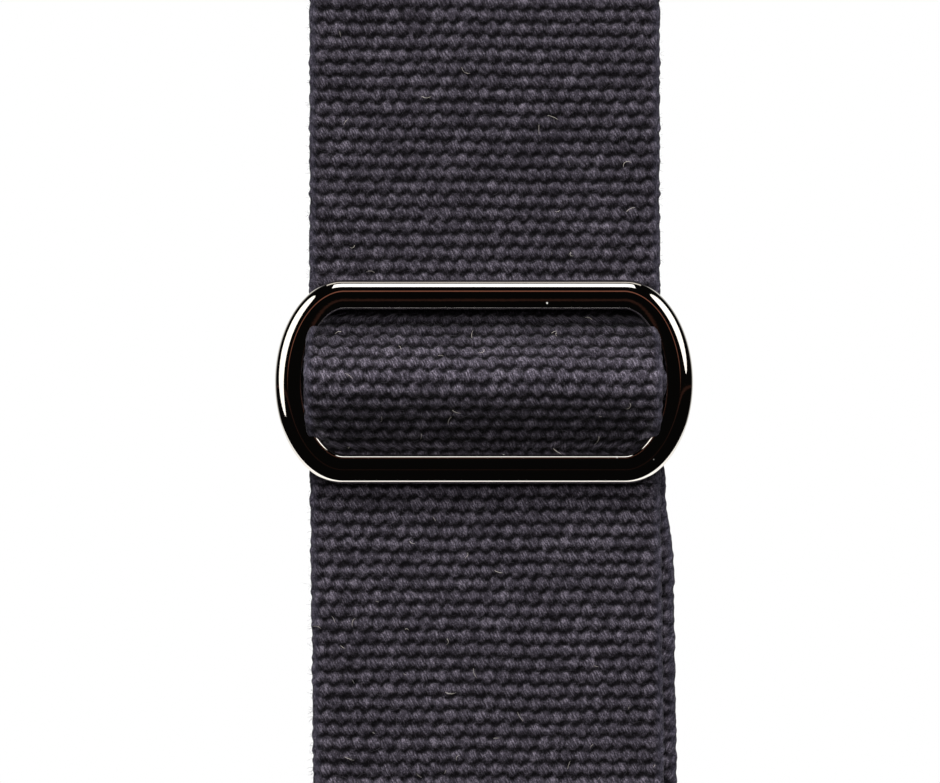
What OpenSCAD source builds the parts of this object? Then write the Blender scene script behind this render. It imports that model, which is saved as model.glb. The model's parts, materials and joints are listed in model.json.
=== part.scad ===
// Adjustable guitar strap of cotton webbing with a three-bar slider and leather ends.
// It hangs folded over, face towards -Y, with both ends down. Millimetres, +Z up.
// The origin is the centre of the button hole in the front leather tab.

/* [Webbing] */
// Width of the webbing
web_w = 50; // [46:0.5:50]
// Thickness of the webbing
web_t = 1.8; // [1.6:0.1:2]
// Width at the fold: distance between the front and back runs' centre planes
fold_gap = 54; // [40:1:70]
// Straight webbing from the fold down to the slider's centre
upper_run = 75; // [60:1:120]
// Webbing from the slider's centre down to the tail ring
loop_run = 360; // [280:5:420]
// Total length of webbing in one piece, from leather edge to its sewn end at the slider bar
web_total = 1394; // [1300:10:1500]
// Length of the webbing's end turned down behind the slider and sewn
flap_len = 36; // [30:1:50]

/* [Slider] */
// Outer width of the slider
slider_w = 59.7; // [58:0.1:64]
// Outer height of the slider
slider_h = 29.1; // [28:0.1:32]
// Half-width of each elliptical end
slider_end = 9.8; // [8:0.1:12]
// Width of the slider's band
slider_band = 4.2; // [3.6:0.1:4.4]
// Thickness of the slider from front to back
slider_t = 3; // [2.6:0.1:3]
// Radius of the slider's centre bar
bar_r = 1; // [0.8:0.05:1.2]
// How far the centre bar sits behind the slider's middle
bar_set = 0.5; // [0:0.1:0.5]

/* [Tail ring] */
// Inner width of the tail ring
ring_w = 52; // [51:0.5:56]
// Inner height of the tail ring
ring_h = 12; // [11:0.5:16]
// Radius of the ring's wire
wire_r = 1.8; // [1.5:0.1:2]
// Inner radius of the ring's corners
ring_corner = 1; // [0.6:0.1:1]

/* [Leather] */
// Thickness of one leather layer
leather_t = 2; // [1.6:0.1:2.4]
// Distance from the front tab's sewn edge to its button hole
front_reach = 80; // [70:1:95]
// Distance from the ring's lower bar to the tail tab's button hole
tail_reach = 75; // [65:1:90]
// Width of the front tab at the webbing
front_tab_w = 56; // [52:1:60]
// Width of the tail tab at the ring
tail_tab_w = 48; // [42:1:50]
// Radius of each tab's nose around its hole
nose_r = 17; // [14:0.5:20]
// Length of webbing sewn inside the front tab
sewn_len = 34; // [28:1:40]

/* [Button holes] */
// Radius of each button hole
hole_r = 3.5; // [3:0.1:4]
// Length of the slit above each hole
slit_len = 12; // [8:1:16]
// Width of the slit
slit_w = 0.8; // [0.4:0.1:1]

/* [Stitching] */
// Distance from one stitch to the next
stitch_pitch = 4; // [3:0.5:5]
// Diameter of the thread
thread_d = 0.8; // [0.5:0.1:1]

/* [Hidden] */

charcoal = [0.2, 0.19, 0.21];
black_nickel = [0.25, 0.24, 0.24];
black_leather = [0.07, 0.065, 0.065];
black_thread = [0.1, 0.1, 0.11];

gap = 0.1;          // room between layers that only touch
fine_gap = 0.02;    // room under a stitch and between sewn layers
arc_step = 7.5;     // degrees between the points of a bend
$fn = 64;

// Places are first counted from the centre bar's axis: y to the back, z up.
front_y = slider_t / 2 - bar_set + gap + web_t / 2;   // front layer, close behind the rails
return_y = front_y + web_t + gap;                     // return run, behind the front layer
flap_y = return_y + web_t + gap;                      // sewn end, behind the return run
back_y = front_y + fold_gap;
fold_r = fold_gap / 2;
fold_z = upper_run;
turn_r = wire_r + gap + web_t / 2;                    // webbing round the ring
ring_y = front_y + turn_r;
ring_z = -loop_run;
lower_bar_z = ring_z - ring_h - 2 * wire_r;
loop_r = bar_r + gap + web_t / 2;                     // webbing sewn round the slider bar
over_r = loop_r + web_t + gap;                        // webbing lying over that loop
rail_z = slider_h / 2 - slider_band;                  // inner edge of each rail
ramp_z = rail_z - 1;                                  // where the front layer leaves the rails
crease_r = 2.5;                                       // bend radius where a layer turns off straight
outer_crease_r = crease_r + web_t + gap;              // the same bend for the layer behind
flap_lean = 0.6;                                      // how far the sewn end stands out at its foot
socket_deep = 1;                                      // depth of the bar's sockets in the ends
edge_cut = 0.6;                                       // bevel on the slider's edges
split_z = slider_h / 2 + 0.5;                         // cuts between the webbing's lengths
split_gap = 0.05;
lead = 1;                                             // straight length at each end of a bend
waist_z = rail_z - 1.6;                               // where the slider's round ends draw the webbing in
waist_w = web_w - 5;                                  // width of the webbing there
back_run = web_total - 2 * loop_run - upper_run - fold_r * PI;
tab_edge_z = fold_z - back_run;
bend_z = tab_edge_z + lead;                           // where the webbing bends above the front tab
bend_room = web_t * tan(12);                          // room there for the tab to tilt inwards
hole_z = tab_edge_z - front_reach;
step_len = 8;                                         // where the tab's layers close up
tail_close = 14;                                      // where the folded tail layers meet

function rim(a, r) = [r * cos(a), r * sin(a)];
function arc(c, r, a0, a1) =
    let (n = max(1, ceil(abs(a1 - a0) / arc_step)))
    [for (i = [0:n]) c + rim(a0 + (a1 - a0) * i / n, r)];

// Angle at which a line from p touches a circle of radius r round the origin
function touch(p, r, side) = atan2(p[1], p[0]) + side * acos(r / norm(p));

// Rounds the corner at p between points a and b
function corner(a, p, b, r) =
    let (
        u = (a - p) / norm(a - p),
        v = (b - p) / norm(b - p),
        half = acos(u * v) / 2,
        c = p + (u + v) / norm(u + v) * r / sin(half),
        from = p + u * r / tan(half) - c,
        to = p + v * r / tan(half) - c,
        a0 = atan2(from[1], from[0]),
        turn = (atan2(to[1], to[0]) - a0 + 540) % 360 - 180
    )
    arc(c, r, a0, a0 + turn);

// Unit vector square to the path at point i
function path_normal(p, i) =
    let (
        a = p[max(0, i - 1)],
        b = p[min(len(p) - 1, i + 1)],
        d = (b - a) / norm(b - a)
    )
    [-d[1], d[0]];

// Outline of a strip of thickness t along a centre line
function strip_outline(p, t) = concat(
    [for (i = [0:len(p) - 1]) p[i] + path_normal(p, i) * t / 2],
    [for (i = [len(p) - 1:-1:0]) p[i] - path_normal(p, i) * t / 2]
);

// Moves what is drawn round the centre bar to the button hole's frame
module hung() translate([0, -back_y, -hole_z]) children();

// Extrudes a (y, z) outline across the strap
module across(w) translate([-w / 2, 0, 0]) rotate([90, 0, 90]) linear_extrude(w) children();

module strip(path) hung() across(web_w) polygon(strip_outline(path, web_t));

// Keeps a strip inside the slider's window, where the round ends draw its edges in
module drawn_in()
    let (
        full = web_w / 2,
        mid = full - 0.3,
        waist = waist_w / 2,
        edge = [
            [full, split_z], [waist, waist_z], [mid, waist_z / 2],
            [mid, -waist_z / 2], [waist, -waist_z], [full, -split_z],
            [full, -split_z - flap_len - 1]
        ],
        other = [for (i = [len(edge) - 1:-1:0]) [-edge[i][0], edge[i][1]]]
    )
    intersection() {
        children();
        hung() rotate([90, 0, 0]) linear_extrude(60, center = true) polygon(concat(edge, other));
    }

// ---- webbing ----

// Its top is cut at a slant, so it can tilt about the edge nearest the tab's face
module webbing_front_end() color(charcoal)
    let (
        outer = back_y + web_t / 2,
        inner = back_y - web_t / 2,
        top = bend_z - split_gap,
        foot = tab_edge_z - sewn_len
    )
    hung() across(web_w)
        polygon([[outer, top], [inner, top - bend_room], [inner, foot], [outer, foot]]);

module webbing_back_run() color(charcoal)
    strip(concat(
        [[back_y, bend_z + split_gap]],
        arc([front_y + fold_r, fold_z], fold_r, 0, 180),
        [[front_y, fold_z - lead]]
    ));

module webbing_upper_run() color(charcoal)
    strip([[front_y, fold_z - lead - split_gap], [front_y, split_z + split_gap]]);

module webbing_over_bar() color(charcoal)
    let (
        top = [front_y, split_z],
        foot = [front_y, ramp_z],
        a = touch(foot, over_r, 1)
    )
    drawn_in() strip(concat(
        [top],
        corner(top, foot, rim(a, over_r), crease_r),
        arc([0, 0], over_r, a, 360 - a),
        corner(rim(-a, over_r), [front_y, -ramp_z], [front_y, -split_z], crease_r),
        [[front_y, -split_z]]
    ));

module webbing_front_run() color(charcoal)
    strip([[front_y, -split_z - split_gap], [front_y, ring_z + lead + split_gap]]);

module webbing_ring_turn() color(charcoal)
    strip(concat(
        [[ring_y - turn_r, ring_z + lead]],
        arc([ring_y, ring_z], turn_r, 180, 360),
        [[ring_y + turn_r, ring_z + lead]]
    ));

module webbing_return_run() color(charcoal)
    strip([[ring_y + turn_r, ring_z + lead + split_gap], [return_y, -split_z - split_gap]]);

module webbing_bar_loop() color(charcoal)
    let (
        a_in = touch([front_y, -ramp_z], over_r, -1),
        below = [return_y, -split_z],
        knee = [return_y, (loop_r - return_y * cos(a_in)) / sin(a_in)],
        back_knee = [flap_y, knee[1] + 1],
        a_out = touch(back_knee, loop_r, 1) - 360,
        end = [flap_y + flap_lean, -split_z - flap_len]
    )
    drawn_in() strip(concat(
        [below],
        corner(below, knee, rim(a_in, loop_r), outer_crease_r),
        arc([0, 0], loop_r, a_in, a_out),
        corner(rim(a_out, loop_r), back_knee, end, outer_crease_r),
        [end]
    ));

// ---- metal ----

// Slider outline: straight rails and half-elliptical ends, grown inwards by inset
function slider_point(side, a, inset) =
    let (
        ry = slider_h / 2,
        u = [side * slider_end * cos(a), ry * sin(a)],
        n = [side * cos(a) / slider_end, sin(a) / ry]
    )
    [side * (slider_w / 2 - slider_end), 0] + u - inset * n / norm(n);

function slider_outline(inset) = [
    for (side = [1, -1])
        for (i = [0:36]) slider_point(side, side * (i * 5 - 90), inset)
];

// One layer of the slider from height z, drawn in from both edges by cut
module slider_slab(z, thick, cut)
    translate([0, 0, z]) linear_extrude(thick) difference() {
        polygon(slider_outline(cut));
        polygon(slider_outline(slider_band - cut));
    }

module slider_frame() color(black_nickel)
    hung() translate([0, slider_t / 2 - bar_set, 0]) rotate([90, 0, 0])
    difference() {
        union() {
            slider_slab(0, slider_t, edge_cut);
            slider_slab(edge_cut, slider_t - 2 * edge_cut, 0);
        }
        for (s = [-1, 1])
            translate([s * (slider_w / 2 - slider_band), 0, slider_t / 2 - bar_set])
                rotate([0, 90, 0]) cylinder(r = bar_r + fine_gap, h = 2 * socket_deep, center = true);
    }

module slider_bar() color(black_nickel)
    hung() rotate([0, 90, 0])
        cylinder(r = bar_r, h = slider_w - 2 * slider_band + 2 * socket_deep - 0.1, center = true);

module tail_ring() color(black_nickel)
    let (
        cx = ring_w / 2 - ring_corner,
        cz = ring_h / 2 - ring_corner,
        bend = ring_corner + wire_r
    )
    hung() translate([0, ring_y, ring_z - wire_r - ring_h / 2]) {
        for (s = [-1, 1]) {
            translate([0, 0, s * (ring_h / 2 + wire_r)]) rotate([0, 90, 0])
                cylinder(r = wire_r, h = 2 * cx, center = true);
            translate([s * (ring_w / 2 + wire_r), 0, 0])
                cylinder(r = wire_r, h = 2 * cz, center = true);
            for (q = [0:1])
                translate([s * cx, 0, (q * 2 - 1) * cz]) rotate([90, 0, 0])
                    rotate([0, 0, s > 0 ? (q ? 0 : -90) : (q ? 90 : 180)])
                        rotate_extrude(angle = 90) translate([bend, 0]) circle(r = wire_r);
        }
    }

// ---- leather ----

// Tab outline in (x, z): top edge at 0, straight sides, then lines to a round nose at -reach
function tab_outline(w, straight, reach, r) =
    let (
        shoulder = [w / 2, reach - straight],
        a = atan2(shoulder[1], shoulder[0]) - acos(r / norm(shoulder))
    )
    concat(
        [[w / 2, 0], [w / 2, -straight]],
        [for (p = arc([0, 0], r, a, -180 - a)) p - [0, reach]],
        [[-w / 2, -straight], [-w / 2, 0]]
    );

// Cuts a (y, z) layer profile to the tab's outline, and opens its hole and slit
module tab(path, t, w, straight, reach) difference() {
    intersection() {
        across(w + 2) polygon(strip_outline(path, t));
        rotate([90, 0, 0]) linear_extrude(40, center = true)
            polygon(tab_outline(w, straight, reach, nose_r));
    }
    translate([0, 0, -reach]) rotate([90, 0, 0]) cylinder(r = hole_r, h = 40, center = true);
    translate([-slit_w / 2, -20, -reach]) cube([slit_w, 40, hole_r + slit_len]);
}

// One layer of the front tab: side 1 faces away from the wearer, -1 towards them
module front_layer(side)
    let (
        open_y = side * (web_t / 2 + fine_gap + leather_t / 2),
        shut_y = side * (fine_gap + leather_t / 2)
    )
    hung() translate([0, back_y, tab_edge_z])
        tab([
                [open_y, 0],
                [open_y, -sewn_len - 1],
                [shut_y, -sewn_len - 1 - step_len],
                [shut_y, -front_reach - nose_r - 1]
            ], leather_t, front_tab_w, sewn_len + 4, front_reach);

module front_tab_face() color(black_leather) front_layer(1);

module front_tab_backing() color(black_leather) front_layer(-1);

// One piece of leather folded round the ring's lower bar
module tail_tab_leather() color(black_leather)
    let (
        bend = wire_r + gap + leather_t / 2,
        shut = leather_t / 2 + fine_gap,
        tip = -tail_reach - nose_r - 1
    )
    hung() translate([0, ring_y, lower_bar_z]) difference() {
        intersection() {
            across(tail_tab_w + 2) polygon(strip_outline(concat(
                [[-shut, tip], [-shut, -tail_close]],
                arc([0, 0], bend, 180, 0),
                [[shut, -tail_close], [shut, tip]]
            ), leather_t));
            translate([0, 0, bend + leather_t]) rotate([90, 0, 0]) linear_extrude(40, center = true)
                polygon(tab_outline(tail_tab_w, 24, tail_reach + bend + leather_t, nose_r));
        }
        translate([0, 0, -tail_reach]) rotate([90, 0, 0])
            cylinder(r = hole_r, h = 40, center = true);
        translate([-slit_w / 2, -20, -tail_reach]) cube([slit_w, 40, hole_r + slit_len]);
    }

// ---- stitching: short raised threads on both faces ----

module stitch() cube([stitch_pitch * 0.7, thread_d, thread_d], center = true);

// Stitches along a line from p to q in (x, z), lying at depth y
module stitch_row(p, q, y)
    let (
        d = q - p,
        n = max(1, round(norm(d) / stitch_pitch))
    )
    for (i = [0:n - 1])
        let (c = p + d * (i + 0.5) / n)
        translate([c[0], y, c[1]]) rotate([0, -atan2(d[1], d[0]), 0]) stitch();

// A sewn box with a cross in it, centred on (0, z)
module stitch_box(w, h, z, y) {
    c = [[-w / 2, z - h / 2], [w / 2, z - h / 2], [w / 2, z + h / 2], [-w / 2, z + h / 2]];
    for (i = [0:3]) {
        arm = c[i] - [0, z];
        stitch_row(c[i], c[(i + 1) % 4], y);
        stitch_row([0, z] + arm * 0.88, [0, z] + arm * 0.1, y);
    }
}

// Stitches round a tab's nose, from z = top down one side and up the other
module nose_stitches(w, straight, reach, top, y) {
    inset = 3.5;
    r = nose_r - inset;
    line = tab_outline(w - 2 * inset, straight, reach, r);
    n = len(line);
    side = line[2] - line[1];
    start = line[1] + side * (line[1][1] - top) / -side[1];
    stitch_row(start, line[2], y);
    stitch_row(line[n - 3], [-start[0], start[1]], y);
    a = atan2(line[2][1] + reach, line[2][0]);
    turn = 180 + 2 * a;
    count = round(turn * PI / 180 * r / stitch_pitch);
    for (i = [0:count - 1])
        let (b = a - turn * (i + 0.5) / count)
        translate([r * cos(b), y, -reach + r * sin(b)]) rotate([0, 90 - b, 0]) stitch();
}

module front_tab_edge_stitching() color(black_thread)
    let (y = leather_t + 2 * fine_gap + thread_d / 2)
    hung() translate([0, back_y, tab_edge_z])
        for (s = [-1, 1])
            nose_stitches(front_tab_w, sewn_len + 4, front_reach, -sewn_len - step_len - 6, s * y);

module front_tab_box_stitching() color(black_thread)
    let (y = web_t / 2 + leather_t + 2 * fine_gap + thread_d / 2)
    hung() translate([0, back_y, tab_edge_z])
        for (s = [-1, 1])
            stitch_box(web_w - 8, sewn_len - 8, -sewn_len / 2, s * y);

module bar_loop_stitching() color(black_thread)
    let (
        y = flap_y + flap_lean + web_t / 2 + 2 * fine_gap + thread_d / 2,
        lean = atan2(flap_lean, split_z + flap_len - ramp_z)
    )
    hung() translate([0, y, -split_z - flap_len]) rotate([lean, 0, 0])
        stitch_box(web_w - 10, flap_len - 12, flap_len / 2 - 1, 0);

module tail_tab_stitching() color(black_thread)
    let (y = leather_t + 2 * fine_gap + thread_d / 2)
    hung() translate([0, ring_y, lower_bar_z])
        for (s = [-1, 1]) {
            nose_stitches(tail_tab_w, 22, tail_reach, -26, s * y);
            stitch_row([-tail_tab_w / 2 + 6, -18.5], [tail_tab_w / 2 - 6, -18.5], s * y);
        }

webbing_front_end();
webbing_back_run();
webbing_upper_run();
webbing_over_bar();
webbing_front_run();
webbing_ring_turn();
webbing_return_run();
webbing_bar_loop();
slider_frame();
slider_bar();
tail_ring();
front_tab_face();
front_tab_backing();
tail_tab_leather();
front_tab_edge_stitching();
front_tab_box_stitching();
bar_loop_stitching();
tail_tab_stitching();
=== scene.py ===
import json
import math

import bpy
import numpy as np
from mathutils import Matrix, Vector, geometry


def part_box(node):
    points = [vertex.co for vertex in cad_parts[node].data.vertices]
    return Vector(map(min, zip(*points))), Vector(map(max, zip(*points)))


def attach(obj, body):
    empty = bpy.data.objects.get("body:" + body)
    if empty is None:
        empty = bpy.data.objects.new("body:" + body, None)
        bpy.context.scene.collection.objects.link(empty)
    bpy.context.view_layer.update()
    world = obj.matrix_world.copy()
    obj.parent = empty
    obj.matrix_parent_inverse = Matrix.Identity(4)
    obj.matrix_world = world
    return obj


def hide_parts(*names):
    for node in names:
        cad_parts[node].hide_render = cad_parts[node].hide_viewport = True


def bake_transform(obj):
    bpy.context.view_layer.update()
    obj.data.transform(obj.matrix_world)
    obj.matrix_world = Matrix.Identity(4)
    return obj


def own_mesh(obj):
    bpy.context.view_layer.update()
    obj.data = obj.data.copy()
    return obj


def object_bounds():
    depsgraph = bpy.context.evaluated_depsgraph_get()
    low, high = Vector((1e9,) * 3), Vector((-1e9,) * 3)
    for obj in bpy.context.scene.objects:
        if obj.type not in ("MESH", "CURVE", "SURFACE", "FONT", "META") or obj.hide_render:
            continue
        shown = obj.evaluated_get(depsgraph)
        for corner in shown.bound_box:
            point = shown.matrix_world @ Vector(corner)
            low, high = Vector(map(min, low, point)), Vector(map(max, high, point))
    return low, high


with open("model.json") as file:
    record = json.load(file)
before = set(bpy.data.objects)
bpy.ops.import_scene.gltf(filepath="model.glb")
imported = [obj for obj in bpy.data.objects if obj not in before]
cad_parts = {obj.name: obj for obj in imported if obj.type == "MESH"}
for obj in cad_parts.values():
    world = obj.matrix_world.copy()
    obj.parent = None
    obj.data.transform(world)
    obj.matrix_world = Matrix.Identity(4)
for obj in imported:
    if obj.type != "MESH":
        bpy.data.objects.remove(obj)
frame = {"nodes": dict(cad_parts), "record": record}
cad_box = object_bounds()

MM = 0.001                       # lengths below are in millimetres


# ---------------------------------------------------------------- places, from the frame

def span(node):
    """Lowest and highest corners of a CAD node, in millimetres."""
    low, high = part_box(node)
    return np.array(low) / MM, np.array(high) / MM


slider_low, slider_high = span("slider_frame")
bar_low, bar_high = span("slider_bar")
front_low, front_high = span("webbing_front_run")
back_low, back_high = span("webbing_back_run")
ring_low, ring_high = span("tail_ring")
face_low, face_high = span("front_tab_face")
tail_low, tail_high = span("tail_tab_leather")
return_low = span("webbing_return_run")[0]
loop_low = span("webbing_bar_loop")[0]
end_low = span("webbing_front_end")[0]

WEB_W = front_high[0] - front_low[0]
WEB_T = front_high[1] - front_low[1]
FRONT_Y = (front_low[1] + front_high[1]) / 2
BACK_Y = back_high[1] - WEB_T / 2
FOLD_R = (BACK_Y - FRONT_Y) / 2
FOLD_Z = back_high[2] - WEB_T / 2 - FOLD_R
TAB_Z = back_low[2]                     # where the webbing bends, just above the leather
LEATHER_Z = face_high[2]

SLIDER_Z = (slider_low[2] + slider_high[2]) / 2
SLIDER_Y = (slider_low[1] + slider_high[1]) / 2
SLIDER_W = slider_high[0] - slider_low[0]
SLIDER_H = slider_high[2] - slider_low[2]
SLIDER_T = slider_high[1] - slider_low[1]
BAND = 4.2                              # width of the slider's band
END_W = 9.8                             # length of its half-elliptical ends
RAIL_Z = SLIDER_H / 2 - BAND            # from the slider's middle to each rail's inner edge
BAR_Y = (bar_low[1] + bar_high[1]) / 2
BAR_R = (bar_high[1] - bar_low[1]) / 2
SPLIT = SLIDER_Z - front_high[2]        # half-height of the stretch drawn into the slider

RING_Y = (ring_low[1] + ring_high[1]) / 2
WIRE_R = (ring_high[1] - ring_low[1]) / 2
RING_Z = ring_high[2] - WIRE_R
LOWER_BAR_Z = ring_low[2] + WIRE_R
RETURN_Y = return_low[1] + WEB_T / 2
TURN_R = RING_Y - FRONT_Y

LEATHER = 2.0                           # thickness of each leather layer's space
SHEET_T = LEATHER - 0.06                # thickness drawn, so that layers stay apart
TIP_R = 17.0                            # round tip of each leather tab
STITCH_IN = 3.4                         # from a tab's edge to its line of stitches
GAP = 0.1                               # between layers that lie on each other
mounts = {m["name"]: m for m in frame["record"]["mounts"]}
HOLE_R = mounts["front_button_hole"]["dims"]["r_mm"]
FRONT_HOLE_Z = mounts["front_button_hole"]["pos_m"][2] / MM
TAIL_HOLE_Z = mounts["tail_button_hole"]["pos_m"][2] / MM


# ---------------------------------------------------------------- small tools

def arc(cy, cz, radius, start, end, step=3.0):
    """Points (y, z) along an arc, with angles in degrees from +y towards +z."""
    count = max(2, int(abs(end - start) / step) + 1)
    a = np.radians(np.linspace(start, end, count))
    return np.column_stack([cy + radius * np.cos(a), cz + radius * np.sin(a)])


def touch(point, radius, side):
    """Angle at which a line from a (y, z) point touches a circle round the origin."""
    y, z = point
    return math.degrees(math.atan2(z, y) + side * math.acos(radius / math.hypot(y, z)))


def ease(t):
    t = np.clip(t, 0, 1)
    return t * t * (3 - 2 * t)


class Path:
    """A (y, z) centre line, read by distance along it. Its normal is on the left of the way it runs."""

    def __init__(self, points, soften=0.0):
        points = np.asarray(points, float)
        keep = np.r_[True, np.linalg.norm(np.diff(points, axis=0), axis=1) > 1e-6]
        points = points[keep]
        run = np.r_[0, np.cumsum(np.linalg.norm(np.diff(points, axis=0), axis=1))]
        self.s = np.linspace(0, run[-1], max(int(run[-1] / 0.1), 8))
        y, z = [np.interp(self.s, run, points[:, k]) for k in (0, 1)]
        if soften:
            half = max(int(soften / (self.s[1] - self.s[0])), 1)
            kernel = np.hanning(2 * half + 3)[1:-1]
            kernel /= kernel.sum()
            y, z = [self._soft(c, kernel, half) for c in (y, z)]
            run = np.r_[0, np.cumsum(np.hypot(np.diff(y), np.diff(z)))]
            even = np.linspace(0, run[-1], len(y))
            y, z, self.s = np.interp(even, run, y), np.interp(even, run, z), even
        self.y, self.z = y, z
        self.length = float(self.s[-1])
        ty, tz = np.gradient(y, self.s), np.gradient(z, self.s)
        size = np.hypot(ty, tz)
        self.ny, self.nz = -tz / size, ty / size

    @staticmethod
    def _soft(c, kernel, half):
        before = 2 * c[0] - c[half:0:-1]
        after = 2 * c[-1] - c[-2:-half - 2:-1]
        return np.convolve(np.r_[before, c, after], kernel, "valid")

    def at(self, s):
        s = np.asarray(s, float)
        over = s - np.clip(s, 0, self.length)
        y, z, ny, nz = [np.interp(s, self.s, c) for c in (self.y, self.z, self.ny, self.nz)]
        return y + over * nz, z - over * ny, ny, nz


def mesh_piece(name, points, faces, smooth=True, attributes=None):
    """A mesh object from points in millimetres and quads or triangles."""
    mesh = bpy.data.meshes.new(name)
    points = np.asarray(points, np.float32) * MM
    if isinstance(faces, np.ndarray):
        count, corners = faces.shape
        mesh.vertices.add(len(points))
        mesh.vertices.foreach_set("co", points.ravel())
        mesh.loops.add(count * corners)
        mesh.loops.foreach_set("vertex_index", faces.astype(np.int32).ravel())
        mesh.polygons.add(count)
        mesh.polygons.foreach_set("loop_start", np.arange(count, dtype=np.int32) * corners)
        mesh.update(calc_edges=True)
    else:
        mesh.from_pydata([tuple(map(float, p)) for p in points], [], faces)
    mesh.polygons.foreach_set("use_smooth", np.full(len(mesh.polygons), smooth))
    for key, values in (attributes or {}).items():
        layer = mesh.attributes.new(key, "FLOAT", "POINT")
        layer.data.foreach_set("value", np.asarray(values, np.float32).ravel())
    mesh.validate()
    piece = bpy.data.objects.new(name, mesh)
    bpy.context.scene.collection.objects.link(piece)
    return piece


def finish_piece(piece, material, body, slot, *replaced):
    piece.data.materials.clear()
    piece.data.materials.append(material)
    if body:
        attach(piece, body)
    if replaced:
        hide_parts(*replaced)
    return piece


def add_tube(points, faces, centre, radius, one, two, ring):
    """Adds a closed tube round a line; one and two are its section's half-axes at each point."""
    base, count = len(points), len(centre)
    a = (2 * np.pi * np.arange(ring) / ring)[:, None]
    around = np.cos(a) * one[:, None] + np.sin(a) * two[:, None]
    points.extend((centre[:, None] + radius[:, None, None] * around).reshape(-1, 3))
    for k in range(count - 1):
        for m in range(ring):
            p, q = base + k * ring + m, base + k * ring + (m + 1) % ring
            faces.append((p, q, q + ring, p + ring))
    last = base + (count - 1) * ring
    faces.append(tuple(range(base, base + ring))[::-1])
    faces.append(tuple(range(last, last + ring)))


class Noise:
    """Smooth seeded noise over a plane, with one value a cell, from -1 to 1."""

    def __init__(self, seed, cell_u, cell_v):
        self.table = np.random.default_rng(seed).uniform(-1, 1, (64, 1024))
        self.cell = cell_u, cell_v

    def __call__(self, u, v):
        u, v = u / self.cell[0] + 7.3, v / self.cell[1] + 3.1
        iu, iv = np.floor(u).astype(int), np.floor(v).astype(int)
        fu, fv = u - iu, v - iv
        fu, fv = fu * fu * (3 - 2 * fu), fv * fv * (3 - 2 * fv)
        t = self.table
        a, b = t[iu % 64, iv % 1024], t[(iu + 1) % 64, iv % 1024]
        c, d = t[iu % 64, (iv + 1) % 1024], t[(iu + 1) % 64, (iv + 1) % 1024]
        return (a * (1 - fu) + b * fu) * (1 - fv) + (c * (1 - fu) + d * fu) * fv


# ---------------------------------------------------------------- webbing

PICK = 1.9            # from one row of the weave to the next
WARP = 1.107          # from one warp yarn to the next; each row shows every second one
CORE = 0.46           # half-thickness under the yarns
YARN = WEB_T / 2 - CORE - 0.01
SIDE = 7              # points round each selvedge
BEND_U = Noise(11, 14.0, 9.0)
BEND_V = Noise(12, 11.0, 17.0)
LUMP = Noise(13, 0.7, 0.6)
CELLS = np.random.default_rng(14).uniform(-1, 1, (4, 97, 1999))   # random values for each yarn bump


def weave(u, v, under):
    """Height from 0 to 1 of the yarns at (u, v), and a random value for each yarn bump."""
    u = u + 0.13 * BEND_U(u, v)
    v = v + 0.17 * BEND_V(u, v)
    row = np.floor(v / PICK).astype(int)
    b = 2 * (v / PICK - row) - 1
    shift = ((row + under) % 2) * WARP + 0.16 * b
    cell = np.floor((u + shift) / (2 * WARP)).astype(int)
    a = 2 * ((u + shift) / (2 * WARP) - cell) - 1
    tall, wide, lift, tint = CELLS[:, cell % 97, row % 1999]
    a = np.clip(a + 0.22 * lift * (1 - a * a), -1, 1)
    crown = np.cos(a * np.pi / 2) ** 2
    b = b + 0.06 + 0.12 * wide * crown + 0.10 * LUMP(u * 0.8, v * 0.3)
    reach = 0.45 + 0.56 * crown * (1 + 0.20 * tall)
    height = np.clip(1 - (np.abs(b) / reach) ** 2.2, 0, 1) ** 0.75 * (0.58 + 0.42 * crown ** 0.8)
    height = height * (1 + 0.09 * tall + 0.13 * LUMP(u, v))
    return np.clip(height, 0, 1.12), tint


def section(columns):
    """Points round the webbing's section: x, offset, outward direction and distance across."""
    half = WEB_W / 2 - CORE
    x = np.linspace(-half, half, columns)
    turn = np.radians(np.linspace(90, -90, SIDE + 2)[1:-1])
    face = np.column_stack([x, np.full(columns, CORE), np.zeros(columns), np.ones(columns), x])
    right = np.column_stack([
        half + CORE * np.cos(turn), CORE * np.sin(turn), np.cos(turn), np.sin(turn),
        half + CORE * (np.pi / 2 - turn) * 0.6,
    ])
    left = -right
    left[:, 4] = left[::-1, 4]
    return np.vstack([face, right, -face, left])


def row_places(length, fine, rows):
    """Distances along a strip at which its section is drawn. Fine stretches get more of them."""
    cuts = [0.0]
    while cuts[-1] < length - 1e-9:
        near = any(a <= cuts[-1] < b for a, b in fine)
        cuts.append(min(cuts[-1] + PICK / (6 if near else rows), length))
    if len(cuts) > 2 and cuts[-1] - cuts[-2] < 0.2:
        cuts.pop(-2)
    return np.array(cuts)[:, None]


def strip_faces(n, k):
    """Faces of a strip of n sections with k points each, and of its two cut ends."""
    i, j = np.meshgrid(np.arange(n - 1), np.arange(k), indexing="ij")
    j2 = (j + 1) % k
    quads = [np.stack([i * k + j, i * k + j2, (i + 1) * k + j2, (i + 1) * k + j], -1).reshape(-1, 4)]
    columns = k // 2 - SIDE
    last = 2 * columns + SIDE - 1           # the last point across the back
    front = np.arange(columns - 1)
    back = last - front
    for base, flip in ((0, False), ((n - 1) * k, True)):
        cap = np.stack([front, back, back - 1, front + 1], -1) + base
        quads.append(cap[:, ::-1] if flip else cap)
        for first in (columns - 1, last):
            edge = [(first + t, (first + SIDE + 1 - t) % k) for t in range(SIDE // 2 + 1)]
            for (a, d), (b, c) in zip(edge, edge[1:]):
                quads.append(np.array([[b, c, d, a] if flip else [a, d, c, b]]) + base)
    return np.vstack(quads)


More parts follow.
